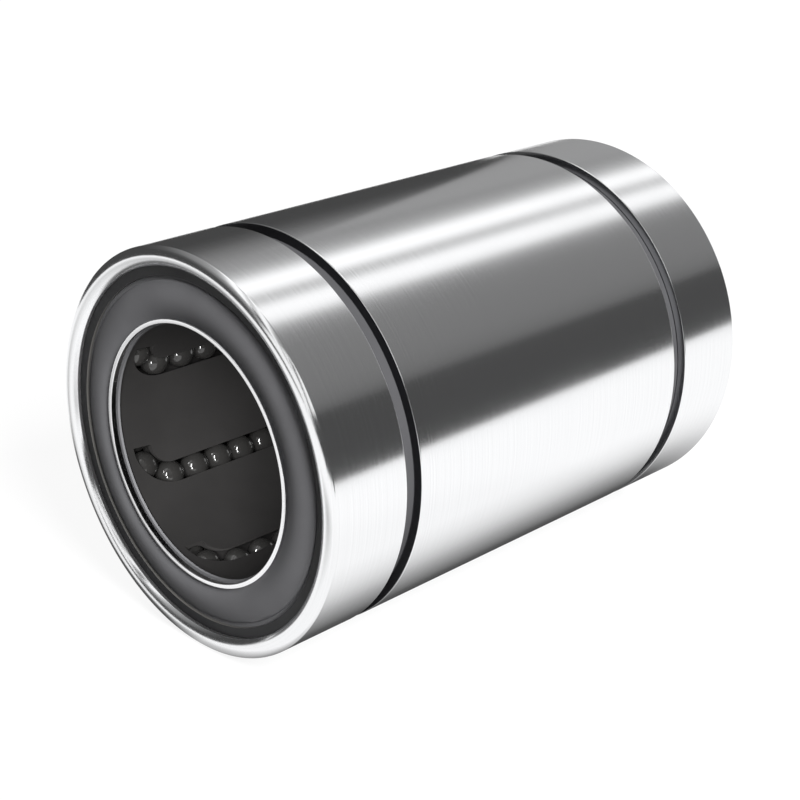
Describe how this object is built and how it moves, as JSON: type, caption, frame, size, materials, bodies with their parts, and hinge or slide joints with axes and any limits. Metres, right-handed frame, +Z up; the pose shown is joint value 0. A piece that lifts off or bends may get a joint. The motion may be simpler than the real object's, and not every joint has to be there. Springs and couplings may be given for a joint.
{
  "type": "linear ball bearing",
  "caption": "Closed linear ball bushing with end seals: a ground steel sleeve with snap ring grooves holds a cage whose recirculating balls run on a round shaft.",
  "frame": {"origin": "centre of the bore, at the middle of the length", "axes": "+Y along the shaft from the front end to the rear end, +Z up, +X to the right seen from the front end"},
  "size_m": [0.04, 0.059, 0.04],
  "materials": {
    "sleeve_steel": "ground bearing steel",
    "cage_resin": "moulded black resin",
    "ball_steel": "lapped and polished",
    "seal_rubber": "satin nitrile rubber",
    "bright_ring": "bright drawn steel",
    "ring_steel": "spring steel, grey",
    "washer_steel": "pressed steel, grey"
  },
  "bodies": {
    "housing_side": {"outer_sleeve": "sleeve_steel", "ball_cage": "cage_resin", "front_washer": "washer_steel", "front_seal": "seal_rubber", "front_seal_ring": "bright_ring", "front_retaining_ring": "ring_steel", "rear_washer": "washer_steel", "rear_seal": "seal_rubber", "rear_seal_ring": "bright_ring", "rear_retaining_ring": "ring_steel"},
    "loaded_row_1": {"loaded_balls_1": "ball_steel"},
    "return_row_1": {"return_balls_1": "ball_steel"},
    "front_turn_group_1": {"front_turn_balls_1": "ball_steel"},
    "rear_turn_group_1": {"rear_turn_balls_1": "ball_steel"},
    "loaded_row_2": {"loaded_balls_2": "ball_steel"},
    "return_row_2": {"return_balls_2": "ball_steel"},
    "front_turn_group_2": {"front_turn_balls_2": "ball_steel"},
    "rear_turn_group_2": {"rear_turn_balls_2": "ball_steel"},
    "loaded_row_3": {"loaded_balls_3": "ball_steel"},
    "return_row_3": {"return_balls_3": "ball_steel"},
    "front_turn_group_3": {"front_turn_balls_3": "ball_steel"},
    "rear_turn_group_3": {"rear_turn_balls_3": "ball_steel"},
    "loaded_row_4": {"loaded_balls_4": "ball_steel"},
    "return_row_4": {"return_balls_4": "ball_steel"},
    "front_turn_group_4": {"front_turn_balls_4": "ball_steel"},
    "rear_turn_group_4": {"rear_turn_balls_4": "ball_steel"},
    "loaded_row_5": {"loaded_balls_5": "ball_steel"},
    "return_row_5": {"return_balls_5": "ball_steel"},
    "front_turn_group_5": {"front_turn_balls_5": "ball_steel"},
    "rear_turn_group_5": {"rear_turn_balls_5": "ball_steel"},
    "loaded_row_6": {"loaded_balls_6": "ball_steel"},
    "return_row_6": {"return_balls_6": "ball_steel"},
    "front_turn_group_6": {"front_turn_balls_6": "ball_steel"},
    "rear_turn_group_6": {"rear_turn_balls_6": "ball_steel"},
    "loaded_row_7": {"loaded_balls_7": "ball_steel"},
    "return_row_7": {"return_balls_7": "ball_steel"},
    "front_turn_group_7": {"front_turn_balls_7": "ball_steel"},
    "rear_turn_group_7": {"rear_turn_balls_7": "ball_steel"}
  },
  "joints": [
    {"name": "loaded_slide_1", "type": "slide", "parent": "housing_side", "child": "loaded_row_1", "axis": [0, 1, 0], "range_m": [-0.0029, 0.0001]},
    {"name": "return_slide_1", "type": "slide", "parent": "housing_side", "child": "return_row_1", "axis": [0, 1, 0], "range_m": [-0.0001, 0.0029]},
    {"name": "front_turn_1", "type": "hinge", "parent": "housing_side", "child": "front_turn_group_1", "pos_m": [0.00995, -0.02271, 0.01054], "axis": [0.4703, 0, 0.8825], "range_deg": [-1.9, 53.6]},
    {"name": "rear_turn_1", "type": "hinge", "parent": "housing_side", "child": "rear_turn_group_1", "pos_m": [0.00995, 0.02271, 0.01054], "axis": [0.4703, 0, 0.8825], "range_deg": [-1.9, 53.6]},
    {"name": "loaded_slide_2", "type": "slide", "parent": "housing_side", "child": "loaded_row_2", "axis": [0, 1, 0], "range_m": [-0.0029, 0.0001]},
    {"name": "return_slide_2", "type": "slide", "parent": "housing_side", "child": "return_row_2", "axis": [0, 1, 0], "range_m": [-0.0001, 0.0029]},
    {"name": "front_turn_2", "type": "hinge", "parent": "housing_side", "child": "front_turn_group_2", "pos_m": [0.01444, -0.02271, -0.0012], "axis": [0.9832, 0, 0.1825], "range_deg": [-1.9, 53.6]},
    {"name": "rear_turn_2", "type": "hinge", "parent": "housing_side", "child": "rear_turn_group_2", "pos_m": [0.01444, 0.02271, -0.0012], "axis": [0.9832, 0, 0.1825], "range_deg": [-1.9, 53.6]},
    {"name": "loaded_slide_3", "type": "slide", "parent": "housing_side", "child": "loaded_row_3", "axis": [0, 1, 0], "range_m": [-0.0029, 0.0001]},
    {"name": "return_slide_3", "type": "slide", "parent": "housing_side", "child": "return_row_3", "axis": [0, 1, 0], "range_m": [-0.0001, 0.0029]},
    {"name": "front_turn_3", "type": "hinge", "parent": "housing_side", "child": "front_turn_group_3", "pos_m": [0.00806, -0.02271, -0.01204], "axis": [0.7557, 0, -0.6549], "range_deg": [-1.9, 53.6]},
    {"name": "rear_turn_3", "type": "hinge", "parent": "housing_side", "child": "rear_turn_group_3", "pos_m": [0.00806, 0.02271, -0.01204], "axis": [0.7557, 0, -0.6549], "range_deg": [-1.9, 53.6]},
    {"name": "loaded_slide_4", "type": "slide", "parent": "housing_side", "child": "loaded_row_4", "axis": [0, 1, 0], "range_m": [-0.0029, 0.0001]},
    {"name": "return_slide_4", "type": "slide", "parent": "housing_side", "child": "return_row_4", "axis": [0, 1, 0], "range_m": [-0.0001, 0.0029]},
    {"name": "front_turn_4", "type": "hinge", "parent": "housing_side", "child": "front_turn_group_4", "pos_m": [-0.00439, -0.02271, -0.01381], "axis": [-0.0408, 0, -0.9992], "range_deg": [-1.9, 53.6]},
    {"name": "rear_turn_4", "type": "hinge", "parent": "housing_side", "child": "rear_turn_group_4", "pos_m": [-0.00439, 0.02271, -0.01381], "axis": [-0.0408, 0, -0.9992], "range_deg": [-1.9, 53.6]},
    {"name": "loaded_slide_5", "type": "slide", "parent": "housing_side", "child": "loaded_row_5", "axis": [0, 1, 0], "range_m": [-0.0029, 0.0001]},
    {"name": "return_slide_5", "type": "slide", "parent": "housing_side", "child": "return_row_5", "axis": [0, 1, 0], "range_m": [-0.0001, 0.0029]},
    {"name": "front_turn_5", "type": "hinge", "parent": "housing_side", "child": "front_turn_group_5", "pos_m": [-0.01354, -0.02271, -0.00518], "axis": [-0.8066, 0, -0.591], "range_deg": [-1.9, 53.6]},
    {"name": "rear_turn_5", "type": "hinge", "parent": "housing_side", "child": "rear_turn_group_5", "pos_m": [-0.01354, 0.02271, -0.00518], "axis": [-0.8066, 0, -0.591], "range_deg": [-1.9, 53.6]},
    {"name": "loaded_slide_6", "type": "slide", "parent": "housing_side", "child": "loaded_row_6", "axis": [0, 1, 0], "range_m": [-0.0029, 0.0001]},
    {"name": "return_slide_6", "type": "slide", "parent": "housing_side", "child": "return_row_6", "axis": [0, 1, 0], "range_m": [-0.0001, 0.0029]},
    {"name": "front_turn_6", "type": "hinge", "parent": "housing_side", "child": "front_turn_group_6", "pos_m": [-0.01249, -0.02271, 0.00735], "axis": [-0.965, 0, 0.2621], "range_deg": [-1.9, 53.6]},
    {"name": "rear_turn_6", "type": "hinge", "parent": "housing_side", "child": "rear_turn_group_6", "pos_m": [-0.01249, 0.02271, 0.00735], "axis": [-0.965, 0, 0.2621], "range_deg": [-1.9, 53.6]},
    {"name": "loaded_slide_7", "type": "slide", "parent": "housing_side", "child": "loaded_row_7", "axis": [0, 1, 0], "range_m": [-0.0029, 0.0001]},
    {"name": "return_slide_7", "type": "slide", "parent": "housing_side", "child": "return_row_7", "axis": [0, 1, 0], "range_m": [-0.0001, 0.0029]},
    {"name": "front_turn_7", "type": "hinge", "parent": "housing_side", "child": "front_turn_group_7", "pos_m": [-0.00204, -0.02271, 0.01435], "axis": [-0.3967, 0, 0.9179], "range_deg": [-1.9, 53.6]},
    {"name": "rear_turn_7", "type": "hinge", "parent": "housing_side", "child": "rear_turn_group_7", "pos_m": [-0.00204, 0.02271, 0.01435], "axis": [-0.3967, 0, 0.9179], "range_deg": [-1.9, 53.6]}
  ],
  "couplings": [
    {"joint": "return_slide_1", "follows": "loaded_slide_1", "ratio": -1},
    {"joint": "front_turn_1", "follows": "loaded_slide_1", "rad_per_m": -322.58},
    {"joint": "rear_turn_1", "follows": "loaded_slide_1", "rad_per_m": -322.58},
    {"joint": "return_slide_2", "follows": "loaded_slide_2", "ratio": -1},
    {"joint": "front_turn_2", "follows": "loaded_slide_2", "rad_per_m": -322.58},
    {"joint": "rear_turn_2", "follows": "loaded_slide_2", "rad_per_m": -322.58},
    {"joint": "return_slide_3", "follows": "loaded_slide_3", "ratio": -1},
    {"joint": "front_turn_3", "follows": "loaded_slide_3", "rad_per_m": -322.58},
    {"joint": "rear_turn_3", "follows": "loaded_slide_3", "rad_per_m": -322.58},
    {"joint": "return_slide_4", "follows": "loaded_slide_4", "ratio": -1},
    {"joint": "front_turn_4", "follows": "loaded_slide_4", "rad_per_m": -322.58},
    {"joint": "rear_turn_4", "follows": "loaded_slide_4", "rad_per_m": -322.58},
    {"joint": "return_slide_5", "follows": "loaded_slide_5", "ratio": -1},
    {"joint": "front_turn_5", "follows": "loaded_slide_5", "rad_per_m": -322.58},
    {"joint": "rear_turn_5", "follows": "loaded_slide_5", "rad_per_m": -322.58},
    {"joint": "return_slide_6", "follows": "loaded_slide_6", "ratio": -1},
    {"joint": "front_turn_6", "follows": "loaded_slide_6", "rad_per_m": -322.58},
    {"joint": "rear_turn_6", "follows": "loaded_slide_6", "rad_per_m": -322.58},
    {"joint": "return_slide_7", "follows": "loaded_slide_7", "ratio": -1},
    {"joint": "front_turn_7", "follows": "loaded_slide_7", "rad_per_m": -322.58},
    {"joint": "rear_turn_7", "follows": "loaded_slide_7", "rad_per_m": -322.58}
  ]
}
